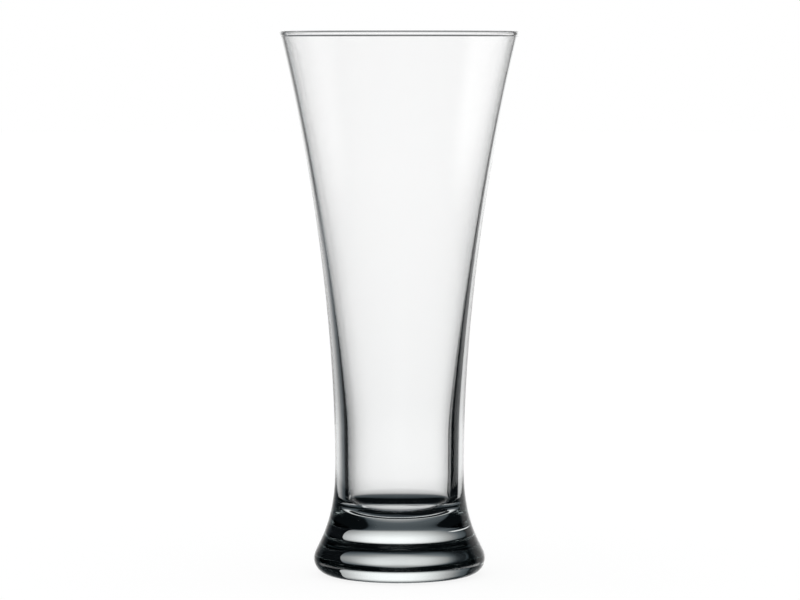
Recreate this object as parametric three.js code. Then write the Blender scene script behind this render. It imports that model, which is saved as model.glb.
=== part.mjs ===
// Pilsner glass: one piece of clear glass with a flared wall, a narrow waist and a heavy solid foot.
// Millimetres, +Z up. The origin is the centre of the ring that the glass stands on.
import * as THREE from 'three';

// Outside of the wall
const glassHeight = 180;
const rimDiameter = 79.4;
const waistDiameter = 42.8;
const waistHeight = 35.7;
const wallFlare = 1.9; // exponent: 1 is a straight cone, more keeps the wall upright for longer

// Foot
const footDiameter = 57;
const footEdgeRadius = 5.1;
const footEdgeLean = 14; // degrees off upright where the flank runs into the rounded edge
const flankDrop = 19.4; // length of the waist's upright tangent
const flankSweep = 3.8; // length of the rounded edge's tangent
const restRingWidth = 3;
const hollowDepth = 0.3; // under the foot, at the axis

// Inside
const floorHeight = 18.2; // at the axis
const bowlDepth = 7.3; // height of the rounded bottom of the inside
const bowlSquareness = 3.8; // exponent: 2 is an ellipse, more is flatter with a tighter corner
const boreHeight = 48.6; // where the straight bore above the foot gives way to the flare
const boreBlend = 0.5; // how softly it does so
const waistWall = 4.3;
const rimWall = 1.2;
const wallTaper = 2.5; // exponent: how fast the wall thins from the bore to the lip
const lipSwell = 0.2; // the fire-polished bead stands this far out of the wall on each side

// Facets
const facetsAround = 48;
const outsideSteps = 14;
const insideSteps = 20;
const flankSteps = 9;
const edgeSteps = 8;
const hollowSteps = 4;
const lipSteps = 8;
const bowlSteps = 10;

const rimRadius = rimDiameter / 2;
const waistRadius = waistDiameter / 2;
const footRadius = footDiameter / 2;
const boreRadius = waistRadius - waistWall;

const lipRadius = rimWall / 2 + lipSwell;
const lipCentre = new THREE.Vector2(rimRadius - lipRadius, glassHeight - lipRadius);
const lipTuck = Math.acos(rimWall / 2 / lipRadius); // how far round the bead meets the wall
const wallTop = lipCentre.y - lipRadius * Math.sin(lipTuck);
const wallTopRadius = lipCentre.x + rimWall / 2;
const bowlTop = floorHeight + bowlDepth;

function outerRadius(height) {
  const rise = Math.max(0, height - waistHeight) / (wallTop - waistHeight);
  return waistRadius + (wallTopRadius - waistRadius) * rise ** wallFlare;
}

const shoulderWall = outerRadius(boreHeight) - boreRadius;

// The flare inside, which the straight bore takes over from where it would be the narrower of the two.
function innerRadius(height) {
  const fall = (wallTop - height) / (wallTop - boreHeight);
  const flare = outerRadius(height) - rimWall - (shoulderWall - rimWall) * fall ** wallTaper;
  return (boreRadius + flare + Math.hypot(boreRadius - flare, boreBlend)) / 2;
}

function wallPoints(radiusAt, from, to, steps) {
  const points = [];
  for (let step = 0; step <= steps; step += 1) {
    const height = THREE.MathUtils.lerp(from, to, step / steps);
    points.push(new THREE.Vector2(radiusAt(height), height));
  }
  return points;
}

function arcPoints(centre, radius, from, to, steps) {
  const clockwise = to < from;
  return new THREE.EllipseCurve(centre.x, centre.y, radius, radius, from, to, clockwise).getPoints(steps);
}

// The hollow under the foot rises in a flat dome from the rest ring to the axis.
function hollowPoints() {
  const ringInside = footRadius - footEdgeRadius - restRingWidth;
  const axisEnd = new THREE.Vector2(0, hollowDepth);
  const crown = new THREE.Vector2(ringInside / 2, hollowDepth);
  return new THREE.QuadraticBezierCurve(axisEnd, crown, new THREE.Vector2(ringInside, 0)).getPoints(hollowSteps);
}

// The rounded edge of the foot and the flank that sweeps from it up to the waist.
function footPoints() {
  const lean = THREE.MathUtils.degToRad(footEdgeLean);
  const centre = new THREE.Vector2(footRadius - footEdgeRadius, footEdgeRadius);
  const edge = arcPoints(centre, footEdgeRadius, -Math.PI / 2, lean, edgeSteps);
  const join = edge.at(-1);
  const joinTangent = new THREE.Vector2(-Math.sin(lean), Math.cos(lean)).multiplyScalar(flankSweep).add(join);
  const waist = new THREE.Vector2(waistRadius, waistHeight);
  const waistTangent = new THREE.Vector2(waistRadius, waistHeight - flankDrop);
  const flank = new THREE.CubicBezierCurve(join, joinTangent, waistTangent, waist).getPoints(flankSteps);
  return [...edge, ...flank.slice(1)];
}

function lipPoints() {
  return arcPoints(lipCentre, lipRadius, -lipTuck, Math.PI + lipTuck, lipSteps);
}

// The rounded bottom of the inside, from the wall down to the axis.
function bowlPoints() {
  const points = [];
  for (let step = 1; step <= bowlSteps; step += 1) {
    const angle = (Math.PI / 2) * (1 - step / bowlSteps);
    const radius = innerRadius(bowlTop) * Math.sin(angle) ** (2 / bowlSquareness);
    points.push(new THREE.Vector2(radius, floorHeight + bowlDepth * (1 - Math.cos(angle))));
  }
  return points;
}

// From the axis under the foot, up the outside, over the lip and down the inside to the axis again.
const profile = [
  ...hollowPoints(),
  ...footPoints(),
  ...wallPoints(outerRadius, waistHeight, wallTop, outsideSteps).slice(1),
  ...lipPoints().slice(1),
  ...wallPoints(innerRadius, wallTop, bowlTop, insideSteps).slice(1),
  ...bowlPoints(),
];

const clearGlass = new THREE.MeshStandardMaterial({ color: 0xe6efed, roughness: 0.03, metalness: 0 });

const glass = new THREE.Mesh(new THREE.LatheGeometry(profile, facetsAround), clearGlass);
glass.name = 'glass';
glass.rotation.x = Math.PI / 2;

const pilsnerGlass = new THREE.Group();
pilsnerGlass.add(glass);

export default pilsnerGlass;
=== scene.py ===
import math

import bmesh
import bpy
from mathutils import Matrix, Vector, noise
from mathutils.geometry import interpolate_bezier


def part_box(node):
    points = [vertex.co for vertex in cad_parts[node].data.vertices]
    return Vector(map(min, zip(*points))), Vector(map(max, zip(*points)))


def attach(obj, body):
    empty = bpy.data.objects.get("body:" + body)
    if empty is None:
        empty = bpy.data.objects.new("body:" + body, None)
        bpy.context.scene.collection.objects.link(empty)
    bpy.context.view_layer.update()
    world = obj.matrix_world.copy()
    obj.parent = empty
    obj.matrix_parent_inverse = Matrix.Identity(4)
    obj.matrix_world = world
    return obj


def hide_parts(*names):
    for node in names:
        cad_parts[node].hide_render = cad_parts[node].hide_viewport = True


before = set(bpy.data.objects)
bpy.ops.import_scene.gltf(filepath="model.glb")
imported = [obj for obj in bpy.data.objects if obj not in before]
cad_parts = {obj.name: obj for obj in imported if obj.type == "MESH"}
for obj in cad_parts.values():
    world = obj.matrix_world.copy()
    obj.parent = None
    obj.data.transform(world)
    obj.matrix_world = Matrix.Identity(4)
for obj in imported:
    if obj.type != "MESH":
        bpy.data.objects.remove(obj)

mm = 0.001
scene = bpy.context.scene
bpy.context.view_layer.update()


def linear(hexColour):  # sRGB hex to the linear RGBA that a shader takes
    parts = [int(hexColour[i:i + 2], 16) / 255 for i in (1, 3, 5)]
    return [p / 12.92 if p <= 0.04045 else ((p + 0.055) / 1.055) ** 2.4 for p in parts] + [1]


def addNode(tree, kind, values=None, links=None, **settings):
    node = tree.nodes.new(kind)
    for name, value in settings.items():
        setattr(node, name, value)
    for socket, value in (values or {}).items():
        node.inputs[socket].default_value = value
    for socket, source in (links or {}).items():
        tree.links.new(source, node.inputs[socket])
    return node


def emptyTree(owner):
    owner.use_nodes = True
    owner.node_tree.nodes.clear()
    return owner.node_tree


def addMesh(name, bm, material):
    mesh = bpy.data.meshes.new(name)
    bm.to_mesh(mesh)
    bm.free()
    mesh.materials.append(material)
    mesh.polygons.foreach_set("use_smooth", [True] * len(mesh.polygons))
    piece = bpy.data.objects.new(name, mesh)
    scene.collection.objects.link(piece)
    return piece


# the glass: one outline of radius and height in millimetres, spun round the axis
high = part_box("glass")[1]
glass = {
    "height": high.z / mm,
    "rimRadius": high.x / mm,
    "waistRadius": 21.4,
    "waistHeight": 35.7,
    "flare": 1.9,           # 1 is a straight cone, more keeps the wall upright for longer
    "footRadius": 28.5,
    "edgeRadius": 5.1,
    "edgeLean": 14,         # degrees off upright where the flank starts
    "flankDrop": 19.4,      # length of the tangent at the waist
    "flankSweep": 3.8,      # and at the foot's edge
    "ringWidth": 3,         # the flat ring that the glass stands on
    "hollowDepth": 0.25,    # under the foot
    "hollowCurve": 1.5,     # 1 is a cone, 2 a dome
    "floorHeight": 18.2,    # inside, at the axis
    "bowlDepth": 7.3,       # the round bottom of the inside
    "bowlSquare": 3.8,      # 2 is an ellipse, more is flatter with a tighter corner
    "boreHeight": 48.6,     # where the straight bore gives way to the flare
    "boreBlend": 0.5,       # how softly it does so
    "waistWall": 4.3,
    "rimWall": 1.2,
    "taper": 2.5,           # how fast the wall thins towards the lip
    "lipSwell": 0.3,        # the fire-polished bead stands this far out of the wall on each side
    "lipNeck": 0.2,         # radius of the fillet under the bead
    "ripple": 0.08,         # the underside is not quite even
    "rippleSize": 7,
    "rippleEdge": 4,        # more keeps the ripple full closer to the rest ring
    "gather": 1.6,          # 1 spaces the wall's points evenly, more draws them to the lip
    "steps": {"turn": 192, "hollow": 24, "edge": 36, "flank": 60, "outside": 80, "neck": 14, "bead": 40,
              "inside": 130, "bowl": 48},
    "mergeGap": 0.001,
}


def arc(centre, radius, start, end, steps):
    angles = [math.radians(start + (end - start) * i / steps) for i in range(steps + 1)]
    return [centre + radius * Vector((math.cos(a), math.sin(a))) for a in angles]


def footOutline(g):  # from the axis under the foot, round its edge and up the flank to the waist
    steps = g["steps"]
    ringOut = g["footRadius"] - g["edgeRadius"]
    ringIn = ringOut - g["ringWidth"]
    points = []
    for i in range(steps["hollow"] + 1):
        share = i / steps["hollow"]
        points.append(Vector((ringIn * share, g["hollowDepth"] * (1 - share ** g["hollowCurve"]))))
    points += arc(Vector((ringOut, g["edgeRadius"])), g["edgeRadius"], -90, g["edgeLean"], steps["edge"])
    lean = math.radians(g["edgeLean"])
    sweep = points[-1] + Vector((-math.sin(lean), math.cos(lean))) * g["flankSweep"]
    waist = Vector((g["waistRadius"], g["waistHeight"]))
    drop = waist - Vector((0, g["flankDrop"]))
    return points + interpolate_bezier(points[-1], sweep, drop, waist, steps["flank"])[1:]


def bowlOutline(g, bowlRadius):  # the round bottom of the inside, down to the axis
    points = []
    for i in range(1, g["steps"]["bowl"] + 1):
        angle = math.pi / 2 * (1 - i / g["steps"]["bowl"])
        radius = bowlRadius * math.sin(angle) ** (2 / g["bowlSquare"])
        points.append(Vector((radius, g["floorHeight"] + g["bowlDepth"] * (1 - math.cos(angle)))))
    return points


def glassOutline(g):  # up the outside, over the lip and down the inside
    steps = g["steps"]
    lean = math.atan(g["flare"] * (g["rimRadius"] - g["waistRadius"]) / (g["height"] - g["waistHeight"]))
    tilt = math.degrees(lean)
    out = Vector((math.cos(lean), -math.sin(lean)))     # square to the wall at the lip
    up = Vector((math.sin(lean), math.cos(lean)))
    half = g["rimWall"] / 2
    bead = half + g["lipSwell"]
    neck = g["lipNeck"]
    drop = math.sqrt((bead + neck) ** 2 - (half + neck) ** 2)   # from the bead's centre to the fillets'
    tuck = math.degrees(math.atan2(drop, half + neck))
    beadCentre = Vector((g["rimRadius"] - bead, g["height"] - bead))
    outNeck = beadCentre + out * (half + neck) - up * drop
    inNeck = beadCentre - out * (half + neck) - up * drop
    outEnd = beadCentre + out * half - up * drop        # where the fillets run into the wall
    inEnd = beadCentre - out * half - up * drop
    bore = g["waistRadius"] - g["waistWall"]
    lipWall = g["rimWall"] / math.cos(lean)

    def outer(z):
        rise = max(0, z - g["waistHeight"]) / (outEnd.y - g["waistHeight"])
        return g["waistRadius"] + (outEnd.x - g["waistRadius"]) * rise ** g["flare"]

    shoulder = outer(g["boreHeight"]) - bore

    def inner(z):
        fall = (inEnd.y - z) / (inEnd.y - g["boreHeight"])
        flared = outer(z) - lipWall - (shoulder - lipWall) * fall ** g["taper"]
        return (bore + flared + math.hypot(bore - flared, g["boreBlend"])) / 2

    points = footOutline(g)
    for i in range(1, steps["outside"] + 1):
        z = outEnd.y - (outEnd.y - g["waistHeight"]) * (1 - i / steps["outside"]) ** g["gather"]
        points.append(Vector((outer(z), z)))
    points += arc(outNeck, neck, 180 - tilt, 180 - tuck - tilt, steps["neck"])[1:]
    points += arc(beadCentre, bead, -tuck - tilt, 180 + tuck - tilt, steps["bead"])[1:]
    points += arc(inNeck, neck, tuck - tilt, -tilt, steps["neck"])[1:]
    bowlTop = g["floorHeight"] + g["bowlDepth"]
    for i in range(1, steps["inside"] + 1):
        z = inEnd.y + (bowlTop - inEnd.y) * (i / steps["inside"]) ** g["gather"]
        points.append(Vector((inner(z), z)))
    return points + bowlOutline(g, points[-1].x)


def spinGlass(g, material):
    bm = bmesh.new()
    verts = [bm.verts.new((p.x * mm, 0, p.y * mm)) for p in glassOutline(g)]
    edges = [bm.edges.new(pair) for pair in zip(verts, verts[1:])]
    bmesh.ops.spin(bm, geom=verts + edges, axis=(0, 0, 1), angle=math.tau, steps=g["steps"]["turn"],
                   use_merge=True)
    bmesh.ops.remove_doubles(bm, verts=bm.verts, dist=g["mergeGap"] * mm)
    bmesh.ops.recalc_face_normals(bm, faces=bm.faces)
    hollow = (g["footRadius"] - g["edgeRadius"] - g["ringWidth"]) * mm
    for vert in bm.verts:
        reach = vert.co.xy.length / hollow
        if reach < 1 and vert.co.z < g["edgeRadius"] * mm:
            wave = noise.noise(vert.co / (g["rippleSize"] * mm))
            vert.co.z += g["ripple"] * mm * wave * (1 - reach ** g["rippleEdge"])
    return addMesh("pilsner_glass", bm, material)


# soda-lime glass, pressed and fire-polished: clear, a faint cool tint where it is thick
clearGlass = {
    "ior": 1.52,
    "roughness": (0.004, 0.012),
    "tint": "#BCF6F3",
    "density": 2,           # per metre
    "smearSize": 18,        # mm
    "smearDetail": 3,
}


def sodaLimeGlass(c):
    material = bpy.data.materials.new("soda_lime_glass")
    tree = emptyTree(material)
    place = addNode(tree, "ShaderNodeTexCoord")
    smear = addNode(tree, "ShaderNodeTexNoise",
                    {"Scale": 1 / (c["smearSize"] * mm), "Detail": c["smearDetail"]},
                    {"Vector": place.outputs["Object"]})
    smooth, dull = c["roughness"]
    rough = addNode(tree, "ShaderNodeMapRange", {"To Min": smooth, "To Max": dull},
                    {"Value": smear.outputs["Fac"]})
    surface = addNode(tree, "ShaderNodeBsdfPrincipled",
                      {"Base Color": linear("#FFFFFF"), "IOR": c["ior"], "Transmission Weight": 1},
                      {"Roughness": rough.outputs["Result"]})
    volume = addNode(tree, "ShaderNodeVolumeAbsorption",
                     {"Color": linear(c["tint"]), "Density": c["density"]})
    addNode(tree, "ShaderNodeOutputMaterial",
            links={"Surface": surface.outputs["BSDF"], "Volume": volume.outputs["Volume"]})
    return material


pilsner = spinGlass(glass, sodaLimeGlass(clearGlass))
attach(pilsner, "root")
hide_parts("glass")
print("glass", len(pilsner.data.vertices), "vertices")


# the studio: a bright panel behind that fades to all sides, in a dark cool room, with white cards that
# back the glass in the other views or mirror in its sides; angles are in degrees, bearing 0 is behind
studio = {
    "panel": 1.09,
    "heights": (
        (-90, 0.01), (-50, 0.06), (-36, 0.12), (-33, 0.25), (-30, 0.47), (-27, 0.56), (-19, 0.73),
        (-10, 0.97), (-3, 1.02), (7, 1), (13, 0.76), (17, 0.62), (21, 0.38), (27, 0.2), (36, 0.03),
        (50, 0.01)),
    "bearings": (
        (-180, 0), (-45, 0), (-43, 0.08), (-36, 0.13), (-30, 0.25), (-24, 0.42), (-18, 0.64), (-12, 0.84),
        (-6, 0.96), (0, 1), (10, 0.98), (15, 0.9), (20, 0.76), (26, 0.58), (34, 0.4), (50, 0.3), (60, 0)),
    "lowBearings": ((-180, 0), (-50, 0), (-44, 1), (16, 1), (24, 0.6), (27, 0)),
    "low": (-37, -31),      # heights between which the low bearings give way to the others
    "room": 0.005,
    # bearing, height, half width, half height, side fade, end fade, strength, rise per degree, how seen
    "cards": (
        (-90, -1.5, 22, 10.5, 6, 1.5, 0.97, 0, "through"),
        (-45, -21.2, 14, 1.7, 5, 0.8, 0.97, 0, "through"),
        (-45, -26, 16, 7.5, 6, 1.5, 0.97, 0, "inside"),
        (135, -17.5, 22, 7.5, 6, 1.5, 0.97, 0, "through"),
        (0, -90, 360, 26, 1, 6, 0.97, 0, "shallow"),
        (73, -17, 33, 3.7, 12, 1.5, 2, -0.125, "mirrored"),
        (-75, -17, 30, 3.7, 14, 1.5, 1.2, 0.125, "mirrored"),
    ),
    "noBounce": 0.5,        # less than one bounce
    "oneWall": 2.5,         # more than the two faces of one wall
    "shade": "#C8E2F2",     # colour of the dark of the room
    "shadeEnd": 0.3,
    "softLight": 1.2,       # what the table gets
    "backdrop": 1,          # what the camera sees past the glass
}


def panelLight(tree, s, rise, turn):
    shares = []
    for name, angle, reach in (("heights", rise, 90), ("bearings", turn, 180), ("lowBearings", turn, 180)):
        along = addNode(tree, "ShaderNodeMapRange",
                        {"From Min": -math.radians(reach), "From Max": math.radians(reach)},
                        {"Value": angle.outputs[0]})
        ramp = addNode(tree, "ShaderNodeValToRGB", links={"Fac": along.outputs["Result"]})
        stops = ramp.color_ramp.elements
        stops.remove(stops[1])
        for degrees, value in s[name]:
            at = (degrees / reach + 1) / 2
            stop = stops.new(at) if at > 0 else stops[0]
            stop.color = (value, value, value, 1)
        shares.append(ramp.outputs["Color"])
    upright, wide, wideLow = shares
    start, end = s["low"]
    above = addNode(tree, "ShaderNodeMapRange",
                    {"From Min": math.radians(start), "From Max": math.radians(end)},
                    {"Value": rise.outputs[0]})
    across = addNode(tree, "ShaderNodeMix",
                     links={"Factor": above.outputs["Result"], "A": wideLow, "B": wide})
    both = addNode(tree, "ShaderNodeMath", links={0: upright, 1: across.outputs["Result"]},
                   operation="MULTIPLY")
    return addNode(tree, "ShaderNodeMath", {1: s["panel"], 2: s["room"]}, {0: both.outputs[0]},
                   operation="MULTIPLY_ADD")


def waysSeen(tree, s, ray):  # 1 for the rays that may see a card, 0 for the others
    mirrors = ray.outputs["Glossy Depth"]
    faces = ray.outputs["Transmission Depth"]
    through = addNode(tree, "ShaderNodeMath", {1: s["noBounce"]}, {0: mirrors}, operation="LESS_THAN")
    deep = addNode(tree, "ShaderNodeMath", {1: s["oneWall"]}, {0: faces}, operation="GREATER_THAN")
    inside = addNode(tree, "ShaderNodeMath", links={0: through.outputs[0], 1: deep.outputs[0]},
                     operation="MULTIPLY")
    shallow = addNode(tree, "ShaderNodeMath", links={0: through.outputs[0], 1: inside.outputs[0]},
                      operation="SUBTRACT")
    mirrored = addNode(tree, "ShaderNodeMath", {1: s["noBounce"]}, {0: faces}, operation="LESS_THAN")
    return {"through": through, "inside": inside, "shallow": shallow, "mirrored": mirrored}


def addCards(tree, s, rise, turn, ray, lit):
    ways = waysSeen(tree, s, ray)
    for bearing, height, halfWidth, halfHeight, sideFade, endFade, strength, lean, way in s["cards"]:
        card = ways[way]
        level = addNode(tree, "ShaderNodeMath", {1: -lean}, {0: turn.outputs[0], 2: rise.outputs[0]},
                        operation="MULTIPLY_ADD")
        for angle, middle, half, fade in ((turn, bearing, halfWidth, sideFade),
                                          (level, height - lean * bearing, halfHeight, endFade)):
            off = addNode(tree, "ShaderNodeMath", {1: math.radians(middle)}, {0: angle.outputs[0]},
                          operation="SUBTRACT")
            away = addNode(tree, "ShaderNodeMath", links={0: off.outputs[0]}, operation="ABSOLUTE")
            within = addNode(tree, "ShaderNodeMapRange",
                             {"From Min": math.radians(half + fade), "From Max": math.radians(half - fade)},
                             {"Value": away.outputs[0]}, interpolation_type="SMOOTHSTEP")
            card = addNode(tree, "ShaderNodeMath", links={0: card.outputs[0], 1: within.outputs["Result"]},
                           operation="MULTIPLY")
        bright = addNode(tree, "ShaderNodeMath", {1: strength}, {0: card.outputs[0]}, operation="MULTIPLY")
        lit = addNode(tree, "ShaderNodeMath", links={0: lit.outputs[0], 1: bright.outputs[0]},
                      operation="MAXIMUM")
    return lit


def lightRoom(s):
    world = bpy.data.worlds.new("studio")
    scene.world = world
    tree = emptyTree(world)
    place = addNode(tree, "ShaderNodeTexCoord")
    axes = addNode(tree, "ShaderNodeSeparateXYZ", links={"Vector": place.outputs["Generated"]})
    rise = addNode(tree, "ShaderNodeMath", links={0: axes.outputs["Z"]}, operation="ARCSINE")
    turn = addNode(tree, "ShaderNodeMath", links={0: axes.outputs["X"], 1: axes.outputs["Y"]},
                   operation="ARCTAN2")
    ray = addNode(tree, "ShaderNodeLightPath")
    lit = addCards(tree, s, rise, turn, ray, panelLight(tree, s, rise, turn))
    soft = addNode(tree, "ShaderNodeMix", {"B": s["softLight"]},
                   {"Factor": ray.outputs["Is Diffuse Ray"], "A": lit.outputs[0]})
    seen = addNode(tree, "ShaderNodeMix", {"B": s["backdrop"]},
                   {"Factor": ray.outputs["Is Camera Ray"], "A": soft.outputs["Result"]})
    pale = addNode(tree, "ShaderNodeMapRange", {"From Max": s["shadeEnd"]},
                   {"Value": seen.outputs["Result"]})
    colour = addNode(tree, "ShaderNodeMix", {"A": linear(s["shade"]), "B": linear("#FFFFFF")},
                     {"Factor": pale.outputs["Result"]}, data_type="RGBA")
    light = addNode(tree, "ShaderNodeBackground",
                    links={"Color": colour.outputs["Result"], "Strength": seen.outputs["Result"]})
    addNode(tree, "ShaderNodeOutputWorld", links={"Surface": light.outputs["Background"]})


lightRoom(studio)
print("studio lit")


# pale table: reads as white, with a soft shadow round the foot
table = {
    "colour": "#F4F5F5",
    "half": 6,              # metres
    "drop": 0.0003,         # keeps the rest ring clear of the table
    "shade": 0.12,          # share of the floor that takes light and shadow
}


def layTable(t):
    material = bpy.data.materials.new("pale_table")
    tree = emptyTree(material)
    ray = addNode(tree, "ShaderNodeLightPath")
    matt = addNode(tree, "ShaderNodeBsdfDiffuse", {"Color": linear(t["colour"])})
    white = addNode(tree, "ShaderNodeEmission", {"Color": linear("#FFFFFF"), "Strength": 1})
    keep = addNode(tree, "ShaderNodeMath", {1: 1 - t["shade"]}, {0: ray.outputs["Is Camera Ray"]},
                   operation="MULTIPLY")
    both = addNode(tree, "ShaderNodeMixShader",
                   links={0: keep.outputs[0], 1: matt.outputs[0], 2: white.outputs[0]})
    addNode(tree, "ShaderNodeOutputMaterial", links={"Surface": both.outputs[0]})
    bm = bmesh.new()
    bmesh.ops.create_grid(bm, x_segments=2, y_segments=2, size=t["half"])
    bmesh.ops.translate(bm, verts=bm.verts, vec=(0, 0, -t["drop"]))
    floor = addMesh("table", bm, material)
    floor.visible_transmission = False
    floor.visible_glossy = False


# black card behind at the right and black gauze at the left: the dark lines along the wall, seen only
# through the glass
flags = {
    "colour": "#0B0D0F",
    "behind": 250,          # mm, as are the sides, ends and fade
    "fade": 30,             # height over which the lower edge thins
    "card": {"sides": (140, 420), "ends": (-250, 500), "clear": (0, 0)},
    "gauze": {"sides": (-190, -95), "ends": (54, 400), "clear": (0.3, 1)},  # share of light let through
}


def standFlag(f, name):
    flag = f[name]
    left, right = flag["sides"]
    bottom, top = flag["ends"]
    thick, thin = flag["clear"]
    material = bpy.data.materials.new("black_" + name)
    tree = emptyTree(material)
    place = addNode(tree, "ShaderNodeTexCoord")
    axes = addNode(tree, "ShaderNodeSeparateXYZ", links={"Vector": place.outputs["Object"]})
    across = addNode(tree, "ShaderNodeMapRange",
                     {"From Min": (left + right) / 2 * mm, "From Max": right * mm,
                      "To Min": thick, "To Max": thin},
                     {"Value": axes.outputs["X"]})
    upward = addNode(tree, "ShaderNodeMapRange",
                     {"From Min": bottom * mm, "From Max": (bottom + f["fade"]) * mm,
                      "To Min": thin, "To Max": thick},
                     {"Value": axes.outputs["Z"]})
    clear = addNode(tree, "ShaderNodeMath",
                    links={0: across.outputs["Result"], 1: upward.outputs["Result"]}, operation="MAXIMUM")
    matt = addNode(tree, "ShaderNodeBsdfDiffuse", {"Color": linear(f["colour"])})
    holes = addNode(tree, "ShaderNodeBsdfTransparent")
    both = addNode(tree, "ShaderNodeMixShader",
                   links={0: clear.outputs[0], 1: matt.outputs[0], 2: holes.outputs[0]})
    addNode(tree, "ShaderNodeOutputMaterial", links={"Surface": both.outputs[0]})
    bm = bmesh.new()
    corners = [(left, bottom), (right, bottom), (right, top), (left, top)]
    bm.faces.new([bm.verts.new((x * mm, f["behind"] * mm, z * mm)) for x, z in corners])
    stand = addMesh("black_" + name, bm, material)
    stand.visible_camera = False
    stand.visible_diffuse = False
    stand.visible_glossy = False
    stand.visible_shadow = False


layTable(table)
standFlag(flags, "card")
standFlag(flags, "gauze")
print("table laid, flags up")


camera = {
    "place": (0.00017, -1.164, 0.175),  # metres
    "aim": (0.00017, 0, 0.0911),
    "lens": 158.4,
    "sensor": 36,
    "reach": 100,
}


def setCamera(c):
    data = bpy.data.cameras.new("camera")
    data.lens = c["lens"]
    data.sensor_width = c["sensor"]
    data.clip_end = c["reach"]
    eye = bpy.data.objects.new("camera", data)
    scene.collection.objects.link(eye)
    eye.location = c["place"]
    eye.rotation_euler = (Vector(c["aim"]) - Vector(c["place"])).to_track_quat("-Z", "Y").to_euler()
    scene.camera = eye


setCamera(camera)
scene.view_settings.view_transform = "Standard"
scene.cycles.max_bounces = 32           # light crosses the thick foot many times
scene.cycles.transmission_bounces = 32
scene.cycles.glossy_bounces = 16
print("camera set")
